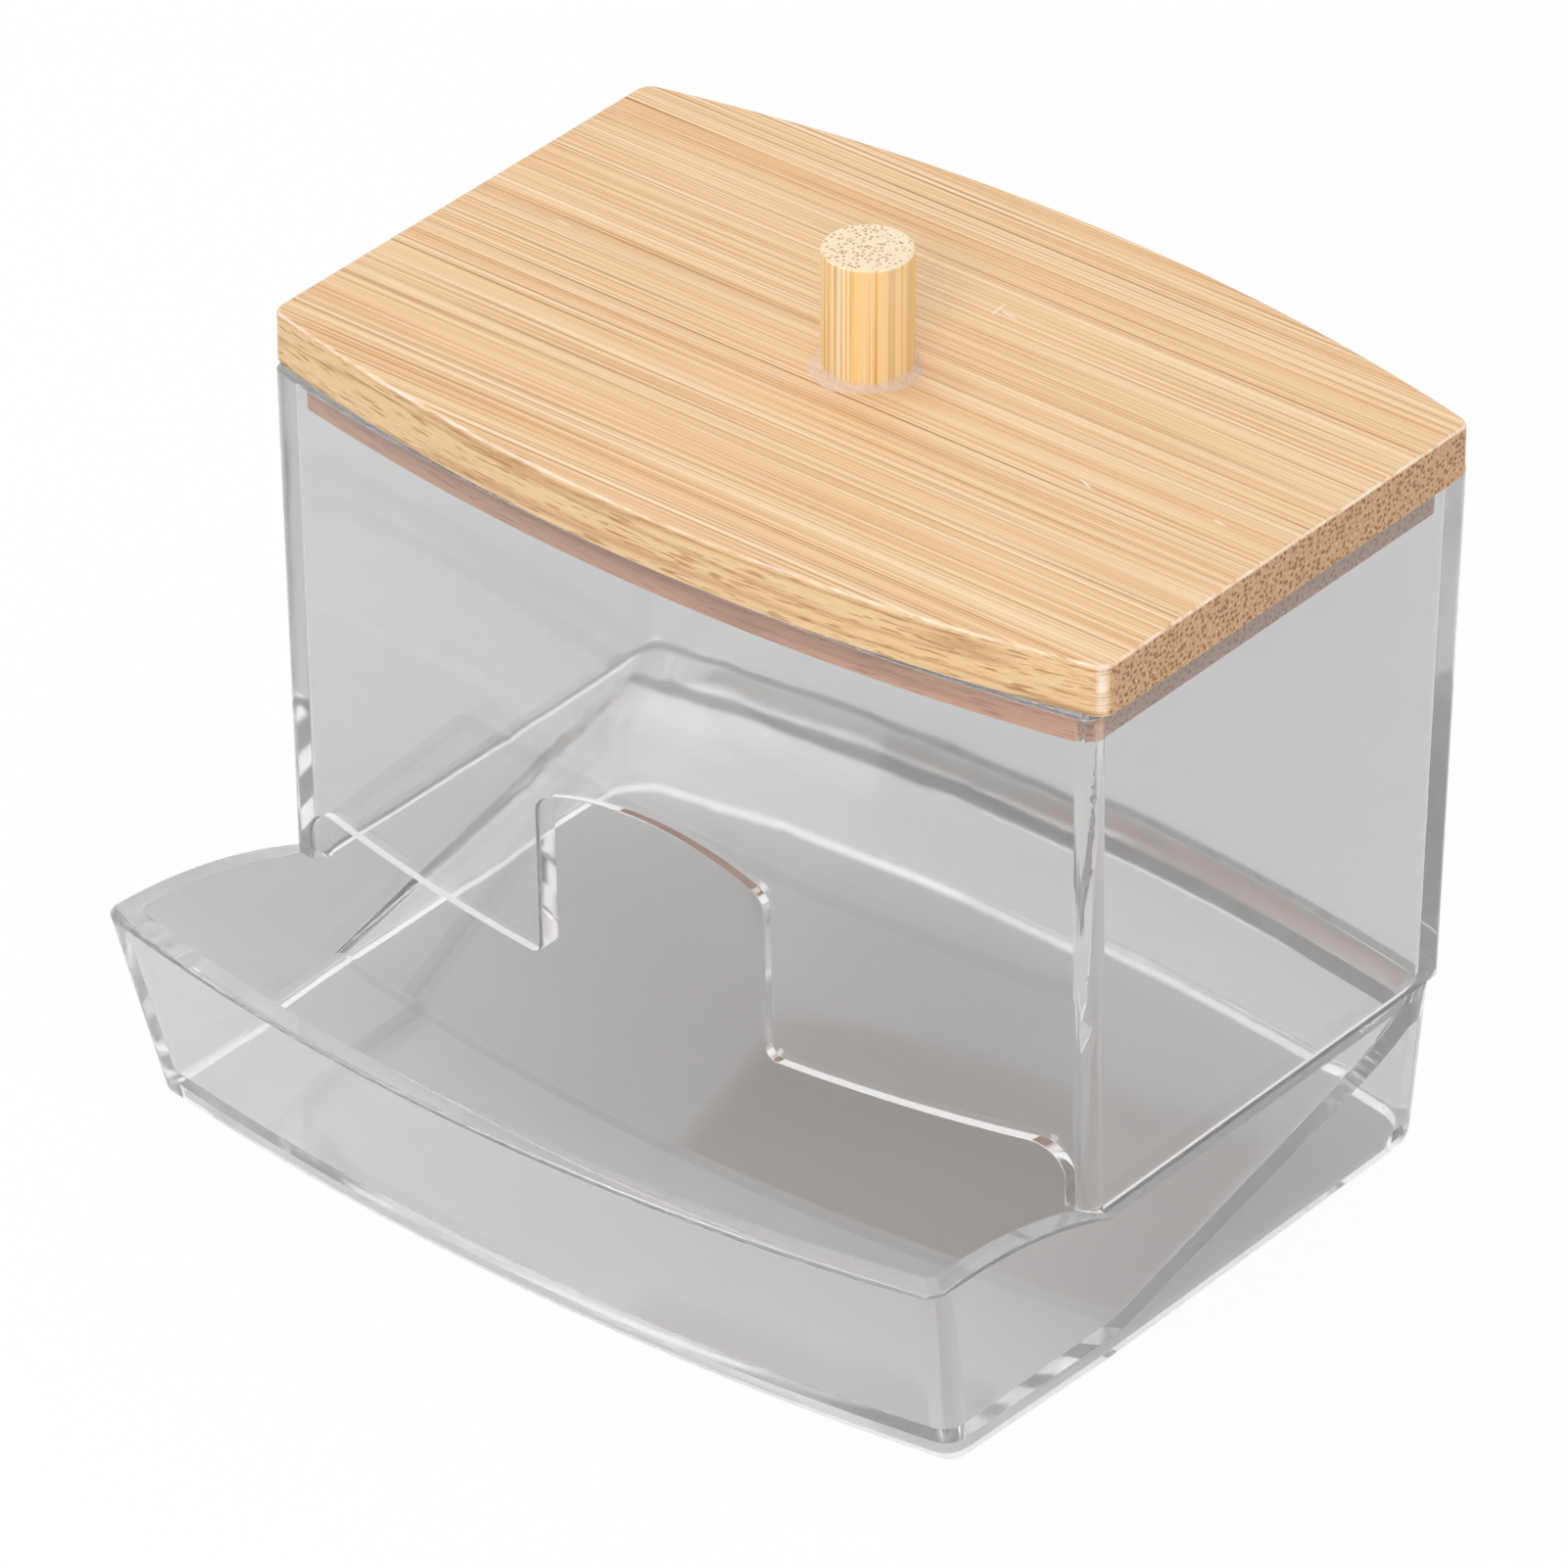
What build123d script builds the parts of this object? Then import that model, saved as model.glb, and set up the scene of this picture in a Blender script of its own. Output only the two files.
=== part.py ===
"""Cotton swab box: a clear gravity-feed dispenser with a bamboo lid that lifts off.

Frame: +Z up, X along the width, the tray at the front faces -Y. The origin lies on the
table, under the middle of the whole object. Sizes are millimetres.
"""

import math
import os

from build123d import *

# Lid board, bamboo: straight ends, bowed front and back
lid_width = 90.0
lid_depth = 49.6
lid_bow = 5.7
lid_thickness = 5.0
lid_corner_radius = 1.6
lid_edge_radius = 0.45

# Locating board under the lid, and the turned knob on it
locating_thickness = 3.8
locating_clearance = 0.6
locating_corner_radius = 0.6
knob_diameter = 8.0
knob_height = 11.5
knob_socket_depth = 3.0
knob_edge_radius = 0.25
bead_width = 1.1
bead_height = 0.55
bead_fullness = 0.62

# Clear mouldings; at its corners the box stands proud of the lid in front and behind
wall = 2.2
box_side_inset = 0.65
box_height = 50.5
box_front_proud = 0.95
box_back_proud = 1.1
box_bow = 4.4
box_side_draft = 0.25
box_front_draft = 1.1
box_back_draft = 1.5
box_corner_radius = 1.5
box_inner_radius = 0.7
moulded_edge_radius = 0.3

# Base: the lower box with its ramp, as wide as the lid and open underneath
base_height = 14.5
base_back_draft = 2.0
base_back_radius = 6.5
base_inner_radius = 4.3
base_void_radius = 1.2
ramp_foot_radius = 0.8
floor_thickness = 1.75
floor_height = 3.0
ramp_setback = 2.25
ramp_knee_reach = 0.785
cove_height = 3.9
cove_steps = 4

# Tray in front of the box: its walls lean outwards and its rim climbs to the front.
# It starts at a crease behind the box's front corners, and its runs are measured from them
tray_crease_setback = 3.25
tray_rim_height = 20.0
tray_rim_flare = 0.8
tray_rim_run = 21.85
tray_rim_bow = 5.1
tray_foot_taper = 0.8
tray_foot_run = 16.95
tray_foot_bow = 3.6
tray_corner_radius = 2.0
tray_inner_radius = 1.0

# Mouth and finger notch in the front wall, heights from the table
mouth_height = 21.3
mouth_dip = 1.8
mouth_side_land = 0.3
mouth_corner_radius = 3.0
notch_width = 24.6
notch_height = 38.7
notch_arch = 2.8
notch_corner_radius = 2.0
notch_foot_radius = 1.2

# Places that follow from the sizes above. Fronts, backs and reaches count from the middle
# of the lid in depth, which is y_lid
lid_underside = base_height + box_height
lid_top = lid_underside + lid_thickness
box_half_width = lid_width / 2 - box_side_inset
box_front = lid_depth / 2 + box_front_proud
box_back = lid_depth / 2 + box_back_proud
base_half_width = lid_width / 2
tray_crease = box_front - tray_crease_setback
tray_rim_half_width = base_half_width + tray_rim_flare
tray_rim_reach = box_front + tray_rim_run
tray_foot_half_width = base_half_width - tray_foot_taper
tray_foot_reach = box_front + tray_foot_run
y_lid = (tray_rim_reach + tray_rim_bow - lid_depth / 2 - lid_bow) / 2

# How far a cutting shape runs past what it cuts, and how near a corner or an edge is found
cut_margin = 5.0
near = 0.05


def bow_line(half_width, y_corner, bow):
    """Arc from corner to corner whose middle stands out by bow, positive towards +Y."""
    return ThreePointArc((half_width, y_corner), (0, y_corner + bow), (-half_width, y_corner))


def bowed_face(z, half_width, front, back, front_bow, back_bow, radius):
    """Plan outline at height z with straight ends, front and back measured from the lid's middle."""
    y_front = y_lid - front
    y_back = y_lid + back
    edges = [
        bow_line(half_width, y_front, -front_bow),
        Line((-half_width, y_front), (-half_width, y_back)),
        bow_line(half_width, y_back, back_bow),
        Line((half_width, y_back), (half_width, y_front)),
    ]
    face = make_face(Curve() + edges)
    return Pos(0, 0, z) * fillet(face.vertices(), radius)


def box_section(z, inset, radius):
    """Section of the upper box at height z; inset is 0 outside and one wall inside."""
    drop = (lid_underside - z) / box_height
    return bowed_face(
        z,
        box_half_width - box_side_draft * drop - inset,
        box_front - box_front_draft * drop - inset,
        box_back - box_back_draft * drop - inset,
        box_bow,
        box_bow,
        radius,
    )


def base_back(z):
    """Distance from the lid's middle to the base's back corners at height z."""
    at_seam = box_back - box_back_draft
    return at_seam - base_back_draft * (base_height - z) / base_height


def base_face(z, inset, back, back_bow, front_radius, back_radius):
    """Section of base and tray at height z, inset from its outer face."""
    share = z / tray_rim_height
    front_half = tray_foot_half_width + (tray_rim_half_width - tray_foot_half_width) * share - inset
    reach = tray_foot_reach + (tray_rim_reach - tray_foot_reach) * share - inset
    bow = tray_foot_bow + (tray_rim_bow - tray_foot_bow) * share
    side_half = base_half_width - inset
    y_front = y_lid - reach
    y_crease = y_lid - tray_crease
    y_back = y_lid + back
    edges = [
        bow_line(front_half, y_front, -bow),
        Line((-front_half, y_front), (-side_half, y_crease)),
        Line((-side_half, y_crease), (-side_half, y_back)),
        bow_line(side_half, y_back, back_bow),
        Line((side_half, y_back), (side_half, y_crease)),
        Line((side_half, y_crease), (front_half, y_front)),
    ]
    face = make_face(Curve() + edges)
    front_corners = face.vertices().filter_by(lambda v: v.Y < y_front + near)
    face = fillet(front_corners, front_radius)
    back_corners = face.vertices().filter_by(lambda v: abs(v.Y - y_back) < near)
    return Pos(0, 0, z) * fillet(back_corners, back_radius)


def base_outline(z):
    """Outer outline of base and tray at height z."""
    return base_face(z, 0, base_back(z), box_bow, tray_corner_radius, base_back_radius)


def box_outline(z):
    """Outer outline of the upper box at height z."""
    return box_section(z, 0, box_corner_radius)


def outer_edges(solid, outline_at, low, high):
    """Edges on the outer face whose middles lie between two heights."""
    found = []
    for edge in solid.edges():
        middle = edge @ 0.5
        if low < middle.Z < high and edge.length > near:
            outline = outline_at(middle.Z).faces()[0].outer_wire()
            if outline.distance_to(Vertex(*middle)) < near:
                found.append(edge)
    return found


def ramp_start_corner():
    """Depth of the ramp's foot at the side walls: a little behind the front wall's inner face."""
    front_inside = box_front - box_front_draft - wall
    return ramp_setback - front_inside


def ramp_place(share):
    """Corner depth and bow of the ramp at a share of its run, from its foot to the back wall."""
    start = ramp_start_corner()
    end = base_back(base_height) - wall
    corner = start + (end - start) * share
    bow = -box_bow + 2 * box_bow * share
    return corner, bow


def ramp_heights():
    """Run share and height of each line of the ramp: straight to the knee, then the cove."""
    knee_height = base_height - cove_height
    rise = (knee_height - floor_height) / ramp_knee_reach
    left = cove_height - rise * (1 - ramp_knee_reach)
    places = [(0.0, floor_height), (ramp_knee_reach, knee_height)]
    for step in range(1, cove_steps + 1):
        part = step / cove_steps
        share = ramp_knee_reach + (1 - ramp_knee_reach) * part
        height = knee_height + rise * (1 - ramp_knee_reach) * part + left * part**2
        places.append((share, height))
    return places


def underside_places(z_low):
    """Run share and height of each line of the ramp's underside, one floor below its top face."""
    run = ramp_place(1)[0] - ramp_place(0)[0]
    places = ramp_heights()
    rise = (places[1][1] - floor_height) / ramp_knee_reach
    drop = floor_thickness * math.hypot(1, rise / run)
    under = [((z_low + drop - floor_height) / rise, z_low)]
    for before, place in zip(places, places[1:-1]):
        slope = (place[1] - before[1]) / (place[0] - before[0]) / run
        under.append((place[0], place[1] - floor_thickness * math.hypot(1, slope)))
    return under


def parting_line():
    """Seam between the mouldings, seen from the side: level, then climbing along the tray."""
    y_crease = y_lid - tray_crease
    y_corner = y_lid - tray_rim_reach
    run = tray_rim_reach - tray_crease
    climb = tray_rim_height - base_height
    radius = (run**2 + climb**2) / (2 * climb)
    half = math.asin(run / radius) / 2
    middle = (y_corner + radius * math.sin(half), tray_rim_height - radius * (1 - math.cos(half)))
    y_far_back = y_lid + box_back + box_bow + cut_margin
    y_far_front = y_corner - tray_rim_bow - cut_margin
    return y_far_back, y_far_front, y_crease, y_corner, middle


def parting_block(upwards):
    """Everything above the seam, or everything below it."""
    y_far_back, y_far_front, y_crease, y_corner, middle = parting_line()
    z_far = lid_top + cut_margin if upwards else -cut_margin
    edges = [
        Line((y_far_back, base_height), (y_crease, base_height)),
        ThreePointArc((y_crease, base_height), middle, (y_corner, tray_rim_height)),
        Line((y_corner, tray_rim_height), (y_far_front, tray_rim_height)),
        Line((y_far_front, tray_rim_height), (y_far_front, z_far)),
        Line((y_far_front, z_far), (y_far_back, z_far)),
        Line((y_far_back, z_far), (y_far_back, base_height)),
    ]
    profile = Plane.YZ * make_face(Curve() + edges)
    return extrude(profile, lid_width, both=True)


def mouth_cutter():
    """Mouth below the front wall, with the arched finger notch above its middle."""
    half = box_half_width - box_side_draft - wall - mouth_side_land
    dip_height = mouth_height - mouth_dip
    mouth_edges = [
        ThreePointArc((half, mouth_height), (0, dip_height), (-half, mouth_height)),
        Line((-half, mouth_height), (-half, 0)),
        Line((-half, 0), (half, 0)),
        Line((half, 0), (half, mouth_height)),
    ]
    mouth = make_face(Curve() + mouth_edges)
    mouth = fillet(mouth.vertices().group_by(Axis.Y)[-1], mouth_corner_radius)
    notch_half = notch_width / 2
    shoulder = notch_height - notch_arch
    below = mouth_height / 2
    notch_edges = [
        Line((-notch_half, below), (-notch_half, shoulder)),
        ThreePointArc((-notch_half, shoulder), (0, notch_height), (notch_half, shoulder)),
        Line((notch_half, shoulder), (notch_half, below)),
        Line((notch_half, below), (-notch_half, below)),
    ]
    notch = make_face(Curve() + notch_edges)
    shape = mouth + notch
    shoulders = shape.vertices().filter_by(lambda v: abs(v.Y - shoulder) < near)
    shape = fillet(shoulders, notch_corner_radius)
    lower = shape.vertices().filter_by(lambda v: dip_height - near < v.Y < mouth_height)
    feet = lower.filter_by(lambda v: abs(abs(v.X) - notch_half) < near)
    shape = fillet(feet, notch_foot_radius)
    y_inside = y_lid - box_front + box_front_draft + wall + mouth_side_land
    face_plane = Plane(origin=(0, y_inside, 0), x_dir=(1, 0, 0), z_dir=(0, -1, 0))
    return extrude(face_plane * shape, wall + box_bow + cut_margin)


def make_upper_box():
    """Four clear walls with bowed front and back, open at the top and at the bottom."""
    outer = [box_outline(z) for z in (base_height, lid_underside)]
    inner_heights = (base_height - cut_margin, lid_underside + cut_margin)
    inner = [box_section(z, wall, box_inner_radius) for z in inner_heights]
    box = loft(outer) - loft(inner) - mouth_cutter()
    box -= parting_block(upwards=False)
    rim = box.faces().sort_by(Axis.Z)[-1].edges()
    box = fillet(rim, moulded_edge_radius)
    between_corners = box_half_width - wall - mouth_corner_radius
    lips = outer_edges(box, box_outline, mouth_height - mouth_dip - near, notch_height)
    lips = [edge for edge in lips if abs((edge @ 0.5).X) < between_corners]
    return fillet(lips, moulded_edge_radius)


def make_base_tray():
    """Lower box and tray in one moulding, with its floor, ramp and skirt."""
    body = loft([base_outline(z) for z in (0, tray_rim_height)], ruled=True)
    hollow = []
    for share, height in ramp_heights():
        corner, bow = ramp_place(share)
        radius = ramp_foot_radius + (base_inner_radius - ramp_foot_radius) * share
        hollow.append(base_face(height, wall, corner, bow, tray_inner_radius, radius))
    z_top = tray_rim_height + cut_margin
    corner, bow = ramp_place(1)
    hollow.append(base_face(z_top, wall, corner, bow, tray_inner_radius, base_inner_radius))
    body -= loft(hollow, ruled=True)
    recess = []
    recess_top = floor_height - floor_thickness
    for z in (-cut_margin, recess_top):
        back = base_back(z) - wall
        recess.append(base_face(z, wall, back, box_bow, tray_inner_radius, base_inner_radius))
    body -= loft(recess, ruled=True)
    body -= ramp_void(recess_top)
    body -= parting_block(upwards=True)
    rim = outer_edges(body, base_outline, base_height + near, tray_rim_height + near)
    body = fillet(rim, moulded_edge_radius)
    foot = outer_edges(body, base_outline, -near, near)
    return fillet(foot, moulded_edge_radius)


def ramp_void(z_low):
    """Hollow under the ramp, open to the table, which leaves ramp and cove one floor thick."""
    half = base_half_width - wall
    faces = []
    for share, z in underside_places(z_low):
        corner, bow = ramp_place(share)
        back = base_back(z) - wall
        edges = [
            bow_line(half, y_lid + corner, bow),
            Line((-half, y_lid + corner), (-half, y_lid + back)),
            bow_line(half, y_lid + back, box_bow),
            Line((half, y_lid + back), (half, y_lid + corner)),
        ]
        face = make_face(Curve() + edges)
        back_corners = face.vertices().filter_by(lambda v: abs(v.Y - y_lid - back) < near)
        faces.append(Pos(0, 0, z) * fillet(back_corners, base_void_radius))
    return loft(faces, ruled=True)


def make_lid_board():
    """Bamboo board with bowed front and back, and a socket for the knob."""
    half_width = lid_width / 2
    half_depth = lid_depth / 2
    plan = bowed_face(
        lid_underside,
        half_width,
        half_depth,
        half_depth,
        lid_bow,
        lid_bow,
        lid_corner_radius,
    )
    board = extrude(plan, lid_thickness, dir=(0, 0, 1))
    top_edges = board.faces().sort_by(Axis.Z)[-1].edges()
    board = fillet(top_edges, lid_edge_radius)
    bottom_edges = board.faces().sort_by(Axis.Z)[0].edges()
    board = fillet(bottom_edges, lid_edge_radius / 2)
    socket = Pos(0, y_lid, lid_top) * Cylinder(knob_diameter / 2, 2 * knob_socket_depth)
    return board - socket


def make_locating_board():
    """Thinner bamboo board glued under the lid, which drops inside the box."""
    inset = wall + locating_clearance
    sections = [
        box_section(lid_underside - locating_thickness, inset, locating_corner_radius),
        box_section(lid_underside, inset, locating_corner_radius),
    ]
    return loft(sections, ruled=True)


def make_knob():
    """Bamboo dowel glued into the lid's socket."""
    length = knob_height + knob_socket_depth
    knob = Pos(0, y_lid, lid_top + knob_height - length / 2) * Cylinder(knob_diameter / 2, length)
    return fillet(knob.edges().sort_by(Axis.Z)[-1], knob_edge_radius)


def make_glue_bead():
    """Ring of clear glue that ran out round the knob's foot."""
    r = knob_diameter / 2
    edges = [
        Line((r, lid_top), (r + bead_width, lid_top)),
        ThreePointArc(
            (r + bead_width, lid_top),
            (r + bead_width / 2, lid_top + bead_height * bead_fullness),
            (r, lid_top + bead_height),
        ),
        Line((r, lid_top + bead_height), (r, lid_top)),
    ]
    profile = Plane.XZ * make_face(Curve() + edges)
    return Pos(0, y_lid, 0) * revolve(profile, Axis.Z)


os.makedirs("parts", exist_ok=True)
nodes = {
    "upper_box": make_upper_box(),
    "base_tray": make_base_tray(),
    "lid_board": make_lid_board(),
    "locating_board": make_locating_board(),
    "lid_knob": make_knob(),
    "knob_glue_bead": make_glue_bead(),
}
for name, shape in nodes.items():
    export_step(shape, f"parts/{name}.step")
    box = shape.bounding_box()
    print(name, len(shape.solids()), round(shape.volume, 1), box.min, box.max)
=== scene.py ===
"""Cotton swab box: a clear dispenser with a bamboo lid, dressed for the camera."""

import math

import bmesh
import bpy
from mathutils import Matrix, Vector


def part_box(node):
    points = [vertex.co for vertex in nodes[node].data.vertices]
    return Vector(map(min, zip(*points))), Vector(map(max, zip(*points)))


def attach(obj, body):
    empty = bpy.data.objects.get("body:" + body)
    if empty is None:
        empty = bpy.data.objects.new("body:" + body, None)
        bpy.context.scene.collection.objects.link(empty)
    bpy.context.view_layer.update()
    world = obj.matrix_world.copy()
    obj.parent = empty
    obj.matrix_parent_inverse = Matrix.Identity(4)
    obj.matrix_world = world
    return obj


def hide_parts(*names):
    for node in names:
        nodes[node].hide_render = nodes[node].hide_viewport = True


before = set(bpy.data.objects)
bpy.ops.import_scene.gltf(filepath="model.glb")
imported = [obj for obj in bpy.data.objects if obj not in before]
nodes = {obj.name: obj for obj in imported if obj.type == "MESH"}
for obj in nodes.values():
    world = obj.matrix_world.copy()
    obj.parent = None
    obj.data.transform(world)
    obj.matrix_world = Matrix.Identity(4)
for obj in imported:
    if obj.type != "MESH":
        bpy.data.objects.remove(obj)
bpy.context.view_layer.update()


# The camera stands to the front right and looks down at the box through a long lens,
# as a catalogue picture is taken. It is placed from the middle of the lid's top.
MM = 0.001
scene = bpy.context.scene
lid_low, lid_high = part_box("lid_board")
lid_middle = Vector((0, (lid_low.y + lid_high.y) / 2, lid_high.z))
camera_azimuth = math.radians(39.24)
camera_elevation = math.radians(33.06)
camera_distance = 1078.86 * MM
aim_right = -7.03 * MM
aim_up = -35.35 * MM
lens_mm = 293.8
sensor_mm = 36.0
furthest_seen = 20.0

back = Vector((
    math.sin(camera_azimuth) * math.cos(camera_elevation),
    -math.cos(camera_azimuth) * math.cos(camera_elevation),
    math.sin(camera_elevation),
))
right = Vector((0, 0, 1)).cross(back).normalized()
up = back.cross(right)
camera_data = bpy.data.cameras.new("camera")
camera_data.lens = lens_mm
camera_data.sensor_width = sensor_mm
camera_data.clip_end = furthest_seen
camera = bpy.data.objects.new("camera", camera_data)
place = lid_middle + aim_right * right + aim_up * up + camera_distance * back
turn = Matrix((right, up, back)).transposed().to_4x4()
camera.matrix_world = Matrix.Translation(place) @ turn
scene.collection.objects.link(camera)
scene.camera = camera
scene.view_settings.view_transform = "Standard"


# The studio is a white tent, plain and bright on every side. The camera sees it as white, and
# so do mirror images and the clear plastic. What lights matt surfaces is a little less.
tent_light = 0.68
tent_seen = 1.0


def add(tree, kind, inputs, **settings):
    """Adds a node of this kind, with its settings, its input values and its links."""
    made = tree.nodes.new(kind)
    for name, value in settings.items():
        setattr(made, name, value)
    for name, value in inputs.items():
        if isinstance(value, bpy.types.NodeSocket):
            tree.links.new(value, made.inputs[name])
        else:
            made.inputs[name].default_value = value
    return made


def linear(hex_colour):
    """Turns an sRGB hex colour into Blender's linear RGBA."""
    channels = [int(hex_colour[i : i + 2], 16) / 255 for i in (1, 3, 5)]
    return [c / 12.92 if c <= 0.04045 else ((c + 0.055) / 1.055) ** 2.4 for c in channels] + [1.0]


world = bpy.data.worlds.new("studio_tent")
scene.world = world
world.use_nodes = True
tree = world.node_tree
tree.nodes.clear()
path = add(tree, "ShaderNodeLightPath", {})
shown = add(tree, "ShaderNodeMath",
            {0: path.outputs["Is Glossy Ray"], 1: path.outputs["Is Transmission Ray"]}, operation="MAXIMUM")
direct = add(tree, "ShaderNodeMath", {0: path.outputs["Diffuse Depth"], 1: 0.5}, operation="LESS_THAN")
mirrored = add(tree, "ShaderNodeMath", {0: shown.outputs[0], 1: direct.outputs[0]}, operation="MULTIPLY")
seen = add(tree, "ShaderNodeMath", {0: path.outputs["Is Camera Ray"], 1: mirrored.outputs[0]},
           operation="MAXIMUM")
strength = add(tree, "ShaderNodeMapRange", {0: seen.outputs[0], 3: tent_light, 4: tent_seen})
lit = add(tree, "ShaderNodeBackground", {"Color": linear("#FFFFFF"), "Strength": strength.outputs[0]})
add(tree, "ShaderNodeOutputWorld", {"Surface": lit.outputs[0]})


# The table top is white paper. The camera and mirror images see it bleached almost to white,
# with a trace of the soft shadow. Through the plastic it keeps its shading and a greyer tone.
paper_half = 3000 * MM
paper_drop = 0.05 * MM
paper_colour = "#FAFAFA"
paper_through_plastic = "#CECECE"
bleached_share = 0.93

paper = bpy.data.materials.new("matt_white_paper")
paper.use_nodes = True
tree = paper.node_tree
tree.nodes.clear()
path = add(tree, "ShaderNodeLightPath", {})
tone = add(tree, "ShaderNodeMix", {
    0: path.outputs["Is Transmission Ray"],
    6: linear(paper_colour),
    7: linear(paper_through_plastic),
}, data_type="RGBA")
matt = add(tree, "ShaderNodeBsdfDiffuse", {"Color": tone.outputs[2], "Roughness": 0.0})
glow = add(tree, "ShaderNodeEmission", {"Color": linear("#FFFFFF"), "Strength": 1.0})
seen = add(tree, "ShaderNodeMath", {0: path.outputs["Is Camera Ray"], 1: path.outputs["Is Glossy Ray"]},
           operation="MAXIMUM")
unbent = add(tree, "ShaderNodeMath", {0: seen.outputs[0], 1: path.outputs["Is Transmission Ray"]},
             operation="SUBTRACT", use_clamp=True)
bleach = add(tree, "ShaderNodeMath", {0: unbent.outputs[0], 1: bleached_share}, operation="MULTIPLY")
both = add(tree, "ShaderNodeMixShader", {0: bleach.outputs[0], 1: matt.outputs[0], 2: glow.outputs[0]})
add(tree, "ShaderNodeOutputMaterial", {"Surface": both.outputs[0]})

shape = bmesh.new()
bmesh.ops.create_grid(shape, x_segments=1, y_segments=1, size=paper_half)
bmesh.ops.translate(shape, vec=(0, 0, -paper_drop), verts=shape.verts)
mesh = bpy.data.meshes.new("table_top")
shape.to_mesh(mesh)
shape.free()
mesh.materials.append(paper)
table = bpy.data.objects.new("table_top", mesh)
scene.collection.objects.link(table)


# Two soft boxes light the object: one hangs above it, a little to the left, so that the lid's
# shadow falls underneath and to the right, and a lower one stands in front.
lamp_aim = Vector((0, 0, 40 * MM))


def soft_box(name, place, size, watts):
    """A square soft box that points at the middle of the object, placed and sized in metres."""
    data = bpy.data.lights.new(name, "AREA")
    data.shape = "SQUARE"
    data.size = size
    data.energy = watts
    lamp = bpy.data.objects.new(name, data)
    lamp.location = place
    lamp.rotation_euler = (lamp_aim - Vector(place)).to_track_quat("-Z", "Y").to_euler()
    scene.collection.objects.link(lamp)


soft_box("overhead_soft_box", (-0.34, 0.05, 1.20), size=0.70, watts=2.7)
soft_box("front_soft_box", (0.40, -0.85, 0.70), size=0.50, watts=4.0)


# Upper box and base tray: two injection mouldings in clear polystyrene, bonded at the seam.
# The mould polishes both sides, so they mirror the tent, but the walls are a little wavy
# where the plastic shrank. A trace of haze brings out the light that runs inside the walls.
plastic_tint = "#FFFFFF"
shadow_tint = "#F2F3F3"
plastic_ior = 1.59
plastic_roughness = 0.04
clearness = 0.955
waviness_mm = 13.0
waviness_depth = 0.03 * MM
light_passes = 48

plastic = bpy.data.materials.new("moulded_clear_polystyrene")
plastic.use_nodes = True
tree = plastic.node_tree
tree.nodes.clear()
where = add(tree, "ShaderNodeTexCoord", {})
shrink = add(tree, "ShaderNodeTexNoise",
             {"Vector": where.outputs["Object"], "Scale": 1 / (waviness_mm * MM), "Detail": 1.0})
wavy = add(tree, "ShaderNodeBump",
           {"Height": shrink.outputs[0], "Strength": 1.0, "Distance": waviness_depth})
clear = add(tree, "ShaderNodeBsdfPrincipled", {
    "Base Color": linear(plastic_tint),
    "Roughness": plastic_roughness,
    "IOR": plastic_ior,
    "Transmission Weight": clearness,
    "Normal": wavy.outputs[0],
})
path = add(tree, "ShaderNodeLightPath", {})
thin = add(tree, "ShaderNodeBsdfTransparent", {"Color": linear(shadow_tint)})
both = add(tree, "ShaderNodeMixShader",
           {0: path.outputs["Is Shadow Ray"], 1: clear.outputs[0], 2: thin.outputs[0]})
add(tree, "ShaderNodeOutputMaterial", {"Surface": both.outputs[0]})
for name in ("upper_box", "base_tray"):
    nodes[name].data.materials[0] = plastic
scene.cycles.max_bounces = light_passes
scene.cycles.transmission_bounces = light_passes
scene.cycles.glossy_bounces = light_passes
scene.cycles.transparent_max_bounces = light_passes


# Lid board: bamboo, sawn to its bowed outline, sanded and given a thin matt lacquer. The
# fibre bundles run along X, as long brown lines on the top, dashes on the bowed edges and
# dots on the sawn ends. The edges are painted pale: partly worn, partly a painted highlight.
band_width_mm = 2.6
fibre_width_mm = 0.22
dot_radius = 0.42
dot_softness = 0.14
fibre_relief = 0.03 * MM
lacquer_ior = 1.48


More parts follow.
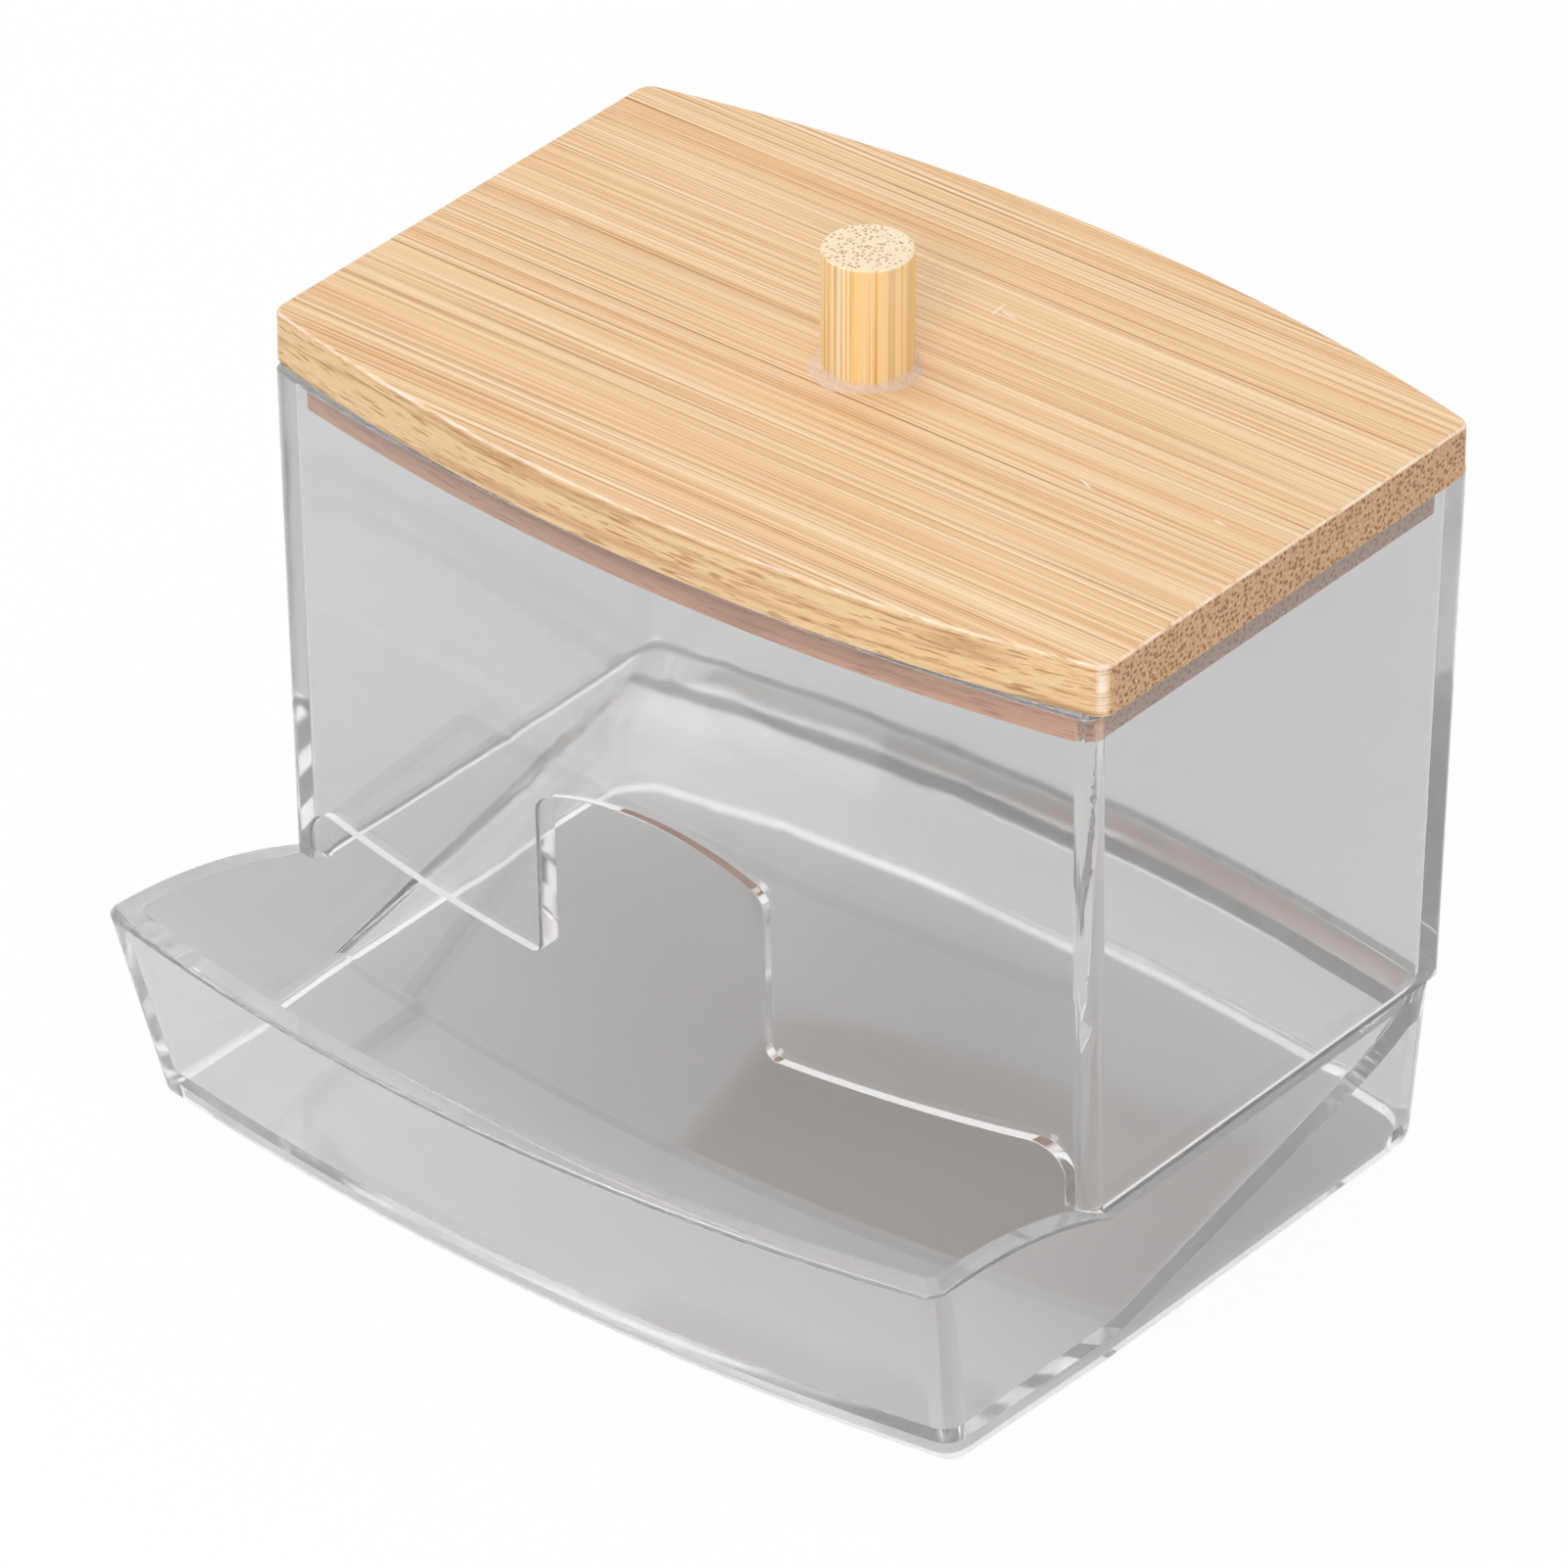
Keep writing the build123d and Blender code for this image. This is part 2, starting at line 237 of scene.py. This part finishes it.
def bamboo(name, tones, turn, line_share, line_width, fibre_spacing, is_round):
    """Sanded and lacquered bamboo, whose fibres run along X after the pattern is turned. Its
    line width and fibre spacing are in mm. Besides the material it returns the last colour
    node and the shader, so that a piece can add marks of its own."""
    tones = {part: linear(tone) for part, tone in tones.items()}
    material = bpy.data.materials.new(name)
    material.use_nodes = True
    tree = material.node_tree
    tree.nodes.clear()
    where = add(tree, "ShaderNodeTexCoord", {})
    grain = add(tree, "ShaderNodeMapping",
                {"Vector": where.outputs["Object"], "Rotation": turn, "Scale": (1 / MM, 1 / MM, 1 / MM)})

    # Growth fields, each drawn out along the fibres: sizes along X, Y and Z in mm, detail, shift
    fields = {}
    for field, sizes, detail, shift in (
        ("bands", (260.0, band_width_mm, band_width_mm), 3.0, 0.0),
        ("fibres", (45.0, fibre_width_mm, fibre_width_mm), 2.0, 7.0),
        ("brown lines", (300.0, line_width, line_width), 0.0, 3.0),
        ("cream lines", (220.0, line_width, line_width), 0.0, 17.0),
        ("fading", (40.0, 3.5, 3.5), 1.0, 31.0),
        ("arches", (60.0, 9.0, 2.2), 1.0, 53.0),
        ("dashes", (3.0, 2.0, 0.2), 1.0, 11.0),
        ("saw marks", (50.0, 0.3, 0.3), 2.0, 23.0),
        ("wear and highlight", (3.0, 1.5, 1.5), 2.0, 41.0),
    ):
        at = add(tree, "ShaderNodeMapping", {
            "Vector": grain.outputs[0],
            "Location": (shift, shift, shift),
            "Scale": [1 / size for size in sizes],
        })
        made = add(tree, "ShaderNodeTexNoise", {"Vector": at.outputs[0], "Scale": 1.0, "Detail": detail})
        fields[field] = made.outputs[0]

    # The arches are thin lines, where their field passes its middle
    off = add(tree, "ShaderNodeMath", {0: fields["arches"], 1: 0.5}, operation="SUBTRACT")
    off = add(tree, "ShaderNodeMath", {0: off.outputs[0]}, operation="ABSOLUTE")
    fields["arches"] = off.outputs[0]

    # The surface's direction tells the sawn ends and the bowed edges from the top
    facing = add(tree, "ShaderNodeMapping", {"Vector": where.outputs["Normal"], "Rotation": turn})
    facing = add(tree, "ShaderNodeSeparateXYZ", {"Vector": facing.outputs[0]})
    along = add(tree, "ShaderNodeMath", {0: facing.outputs["X"]}, operation="ABSOLUTE")
    across = add(tree, "ShaderNodeMath", {0: facing.outputs["Y"]}, operation="ABSOLUTE")
    upright = add(tree, "ShaderNodeMath", {0: facing.outputs["Z"]}, operation="ABSOLUTE")
    is_end = add(tree, "ShaderNodeMapRange", {0: along.outputs[0], 1: 0.90, 2: 0.97})
    is_side = add(tree, "ShaderNodeMapRange",
                  {0: upright.outputs[0], 1: 0.35, 2: 0.15, 4: 0.0 if is_round else 1.0})
    sided = add(tree, "ShaderNodeMath", {0: is_side.outputs[0], 1: 0.85}, operation="MULTIPLY")
    streaks = add(tree, "ShaderNodeMapRange", {0: is_side.outputs[0], 3: 1.0, 4: 0.2})
    fading = add(tree, "ShaderNodeMapRange", {0: fields["fading"], 1: 0.35, 2: 0.62})
    broken = add(tree, "ShaderNodeMath", {0: fading.outputs[0], 1: streaks.outputs[0]}, operation="MULTIPLY")

    banded = add(tree, "ShaderNodeMapRange", {0: fields["bands"], 1: 0.36, 2: 0.64})
    colour = add(tree, "ShaderNodeMix",
                 {0: banded.outputs[0], 6: tones["ground"], 7: tones["pale ground"]},
                 data_type="RGBA")
    colour = add(tree, "ShaderNodeMix",
                 {0: sided.outputs[0], 6: colour.outputs[2], 7: tones["bowed edge"]}, data_type="RGBA")

    # Layers over the ground: field, where it starts and is full, the most of it, place and tone
    for field, start, full, most, place, tone in (
        ("fibres", 0.50, 0.72, 0.50, streaks, "brown"),
        ("fibres", 0.46, 0.28, 0.50, streaks, "cream"),
        ("brown lines", 0.60, 0.69, line_share, broken, "brown"),
        ("cream lines", 0.62, 0.72, 0.55, streaks, "cream"),
        ("arches", 0.07, 0.0, 0.6, sided, "brown"),
        ("dashes", 0.58, 0.66, 0.8, sided, "brown"),
    ):
        share = add(tree, "ShaderNodeMapRange", {0: fields[field], 1: start, 2: full, 4: most})
        share = add(tree, "ShaderNodeMath", {0: share.outputs[0], 1: place.outputs[0]}, operation="MULTIPLY")
        colour = add(tree, "ShaderNodeMix",
                     {0: share.outputs[0], 6: colour.outputs[2], 7: tones[tone]}, data_type="RGBA")

    # The sawn ends cut the fibre bundles across, as dots
    at = add(tree, "ShaderNodeMapping",
             {"Vector": grain.outputs[0], "Scale": (0.01, 1 / fibre_spacing, 1 / fibre_spacing)})
    bundles = add(tree, "ShaderNodeTexVoronoi", {"Vector": at.outputs[0], "Scale": 1.0, "Randomness": 0.8})
    dots = add(tree, "ShaderNodeMapRange",
               {0: bundles.outputs["Distance"], 1: dot_radius, 2: dot_radius - dot_softness, 4: 0.85})
    rough = add(tree, "ShaderNodeMapRange", {0: fields["saw marks"], 1: 0.40, 2: 0.75, 4: 0.4})
    sawn = add(tree, "ShaderNodeMix",
               {0: rough.outputs[0], 6: tones["sawn end"], 7: tones["cream"]}, data_type="RGBA")
    sawn = add(tree, "ShaderNodeMix",
               {0: dots.outputs[0], 6: sawn.outputs[2], 7: tones["dots"]}, data_type="RGBA")
    colour = add(tree, "ShaderNodeMix",
                 {0: is_end.outputs[0], 6: colour.outputs[2], 7: sawn.outputs[2]}, data_type="RGBA")

    # The edges are painted pale in patches, where the surface turns from one face to the next: partly worn,
    # partly a painted highlight
    if is_round:
        sideways = add(tree, "ShaderNodeCombineXYZ", {"X": upright.outputs[0], "Y": across.outputs[0]})
        sideways = add(tree, "ShaderNodeVectorMath", {0: sideways.outputs[0]}, operation="LENGTH")
        sideways = sideways.outputs["Value"]
    else:
        sideways = add(tree, "ShaderNodeMath", {0: upright.outputs[0], 1: across.outputs[0]},
                       operation="MAXIMUM").outputs[0]
    flattest = add(tree, "ShaderNodeMath", {0: sideways, 1: along.outputs[0]}, operation="MAXIMUM")
    edges = add(tree, "ShaderNodeMapRange", {0: flattest.outputs[0], 1: 0.92, 2: 0.80, 4: 0.75})
    patchy = add(tree, "ShaderNodeMapRange", {0: fields["wear and highlight"], 1: 0.36, 2: 0.6, 3: 0.15})
    edges = add(tree, "ShaderNodeMath", {0: edges.outputs[0], 1: patchy.outputs[0]}, operation="MULTIPLY")
    colour = add(tree, "ShaderNodeMix",
                 {0: edges.outputs[0], 6: colour.outputs[2], 7: tones["worn and highlit edge"]}, data_type="RGBA")

    relief = add(tree, "ShaderNodeBump",
                 {"Height": fields["fibres"], "Strength": 0.35, "Distance": fibre_relief})
    sheen = add(tree, "ShaderNodeMapRange", {0: fields["fibres"], 1: 0.3, 2: 0.7, 3: 0.42, 4: 0.6})
    lacquer = add(tree, "ShaderNodeBsdfPrincipled", {
        "Base Color": colour.outputs[2],
        "Roughness": sheen.outputs[0],
        "IOR": lacquer_ior,
        "Normal": relief.outputs[0],
    })
    add(tree, "ShaderNodeOutputMaterial", {"Surface": lacquer.outputs[0]})
    return material, colour, lacquer


# Short pale scratches on the lid's top: middle in X and Y, length and turn from X
scratches_mm = [
    (2.9, 25.2, 2.6, 94.0),
    (4.3, 25.0, 2.1, 172.0),
    (26.1, 7.7, 2.1, 160.0),
    (38.4, 9.9, 1.7, 173.0),
    (-35.0, 12.9, 2.0, 177.0),
]
scratch_width_mm = 0.12
scratch_tone = "#FFF4E4"
# The pale edge tone in each set of tones is partly worn bamboo and partly a painted highlight on the rounded
# edges.
board_tones = {
    "ground": "#E8BB88",
    "pale ground": "#F1CFA2",
    "brown": "#A87142",
    "cream": "#FFECD0",
    "bowed edge": "#E9C695",
    "sawn end": "#C39566",
    "dots": "#85532F",
    "worn and highlit edge": "#FFF1E4",
}
board, colour, lacquer = bamboo(
    "sanded_bamboo_board", board_tones, turn=(0, 0, 0),
    line_share=0.8, line_width=0.34, fibre_spacing=0.55, is_round=False)
tree = board.node_tree
where = add(tree, "ShaderNodeTexCoord", {})
for x, y, length, angle in scratches_mm:
    at = add(tree, "ShaderNodeMapping", {
        "Vector": where.outputs["Object"],
        "Location": (x * MM, y * MM, 0),
        "Rotation": (0, 0, math.radians(angle)),
        "Scale": (length / 2 * MM, scratch_width_mm * MM, 1),
    }, vector_type="TEXTURE")
    parts = add(tree, "ShaderNodeSeparateXYZ", {"Vector": at.outputs[0]})
    flat = add(tree, "ShaderNodeCombineXYZ", {"X": parts.outputs["X"], "Y": parts.outputs["Y"]})
    away = add(tree, "ShaderNodeVectorMath", {0: flat.outputs[0]}, operation="LENGTH")
    mark = add(tree, "ShaderNodeMapRange", {0: away.outputs["Value"], 1: 1.0, 2: 0.6, 4: 0.8})
    colour = add(tree, "ShaderNodeMix",
                 {0: mark.outputs[0], 6: colour.outputs[2], 7: linear(scratch_tone)}, data_type="RGBA")
tree.links.new(colour.outputs[2], lacquer.inputs["Base Color"])
nodes["lid_board"].data.materials[0] = board


# Locating board: a thinner board of carbonised bamboo, rosier and browner than the lid,
# sawn smaller than the box's opening and glued under the lid.
locator_tones = {
    "ground": "#DA9468",
    "pale ground": "#E4A87F",
    "brown": "#A05C34",
    "cream": "#EEBF9A",
    "bowed edge": "#DB9A6E",
    "sawn end": "#CF9468",
    "dots": "#84492C",
    "worn and highlit edge": "#EFC8A8",
}
locator, colour, lacquer = bamboo(
    "carbonised_bamboo_board", locator_tones, turn=(0, 0, 0),
    line_share=0.6, line_width=0.42, fibre_spacing=0.55, is_round=False)
nodes["locating_board"].data.materials[0] = locator


# Knob: a bamboo dowel turned to 8 mm and glued in its socket. Its fibres stand upright, as
# fine lines on the side and dots on the top, which is cream with a pale turned rim, partly worn and partly a
# painted highlight.
quarter = math.radians(90)
dowel_tones = {
    "ground": "#FFCC7A",
    "pale ground": "#FFE8B8",
    "brown": "#B87834",
    "cream": "#FFF4D8",
    "bowed edge": "#FACF86",
    "sawn end": "#F7E3C2",
    "dots": "#BC8454",
    "worn and highlit edge": "#FFF6E6",
}
dowel, colour, lacquer = bamboo(
    "turned_bamboo_dowel", dowel_tones, turn=(0, quarter, 0),
    line_share=0.65, line_width=0.26, fibre_spacing=0.40, is_round=True)
nodes["lid_knob"].data.materials[0] = dowel


# Glue ring: clear wood glue that was pressed out round the knob's foot and set there. It is
# ragged, wider at the front left, and whitish from fine bubbles.
ring_segments = 96
ring_height = 0.55 * MM
ring_width = 0.85 * MM
ring_profile = ((0.0, 1.0), (0.35, 0.86), (0.75, 0.45), (1.0, 0.0))
ragged = ((3, 0.16, 0.8), (5, 0.12, 2.1), (9, 0.10, 4.0), (17, 0.07, 1.3))
widest_turn = math.radians(235)
one_sided = 0.3
bead_unevenness = 0.4

knob_low, knob_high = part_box("lid_knob")
knob_radius = (knob_high.x - knob_low.x) / 2
shape = bmesh.new()
bmesh.ops.create_circle(shape, segments=ring_segments, radius=knob_radius)
edge_loop = list(shape.edges)
levels = [list(shape.verts)]
for _ in ring_profile[1:]:
    made = bmesh.ops.extrude_edge_only(shape, edges=edge_loop)["geom"]
    edge_loop = [part for part in made if isinstance(part, bmesh.types.BMEdge) and part.is_boundary]
    levels.append([part for part in made if isinstance(part, bmesh.types.BMVert)])
for (outwards, upwards), verts in zip(ring_profile, levels):
    for vert in verts:
        angle = math.atan2(vert.co.y, vert.co.x)
        uneven = 1.0 + one_sided * math.cos(angle - widest_turn)
        for waves, size, start in ragged:
            uneven += size * math.sin(waves * angle + start)
        radius = knob_radius + outwards * ring_width * uneven
        height = upwards * ring_height * (1 - bead_unevenness + bead_unevenness * uneven)
        vert.co = Vector((math.cos(angle) * radius, math.sin(angle) * radius, height))
bmesh.ops.translate(shape, vec=(lid_middle.x, lid_middle.y, lid_high.z), verts=shape.verts)
bmesh.ops.recalc_face_normals(shape, faces=shape.faces)
for face in shape.faces:
    face.smooth = True
mesh = bpy.data.meshes.new("glue_ring")
shape.to_mesh(mesh)
shape.free()
ring = bpy.data.objects.new("glue_ring", mesh)
scene.collection.objects.link(ring)

bubble_size_mm = 0.5
lump_depth = 0.04 * MM
glue_tone = "#FBE3D0"
bubble_tone = "#FFF8F1"
glue = bpy.data.materials.new("cured_wood_glue")
glue.use_nodes = True
tree = glue.node_tree
tree.nodes.clear()
where = add(tree, "ShaderNodeTexCoord", {})
bubbles = add(tree, "ShaderNodeTexNoise",
              {"Vector": where.outputs["Object"], "Scale": 1 / (bubble_size_mm * MM), "Detail": 3.0})
cloud = add(tree, "ShaderNodeMapRange", {0: bubbles.outputs[0], 1: 0.35, 2: 0.65})
milky = add(tree, "ShaderNodeMix",
            {0: cloud.outputs[0], 6: linear(glue_tone), 7: linear(bubble_tone)}, data_type="RGBA")
lumpy = add(tree, "ShaderNodeBump", {"Height": bubbles.outputs[0], "Strength": 0.5, "Distance": lump_depth})
wet = add(tree, "ShaderNodeBsdfPrincipled", {
    "Base Color": milky.outputs[2],
    "Roughness": 0.18,
    "IOR": 1.47,
    "Alpha": 0.4,
    "Normal": lumpy.outputs[0],
})
add(tree, "ShaderNodeOutputMaterial", {"Surface": wet.outputs[0]})
mesh.materials.append(glue)
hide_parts("knob_glue_bead")
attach(ring, "lid")
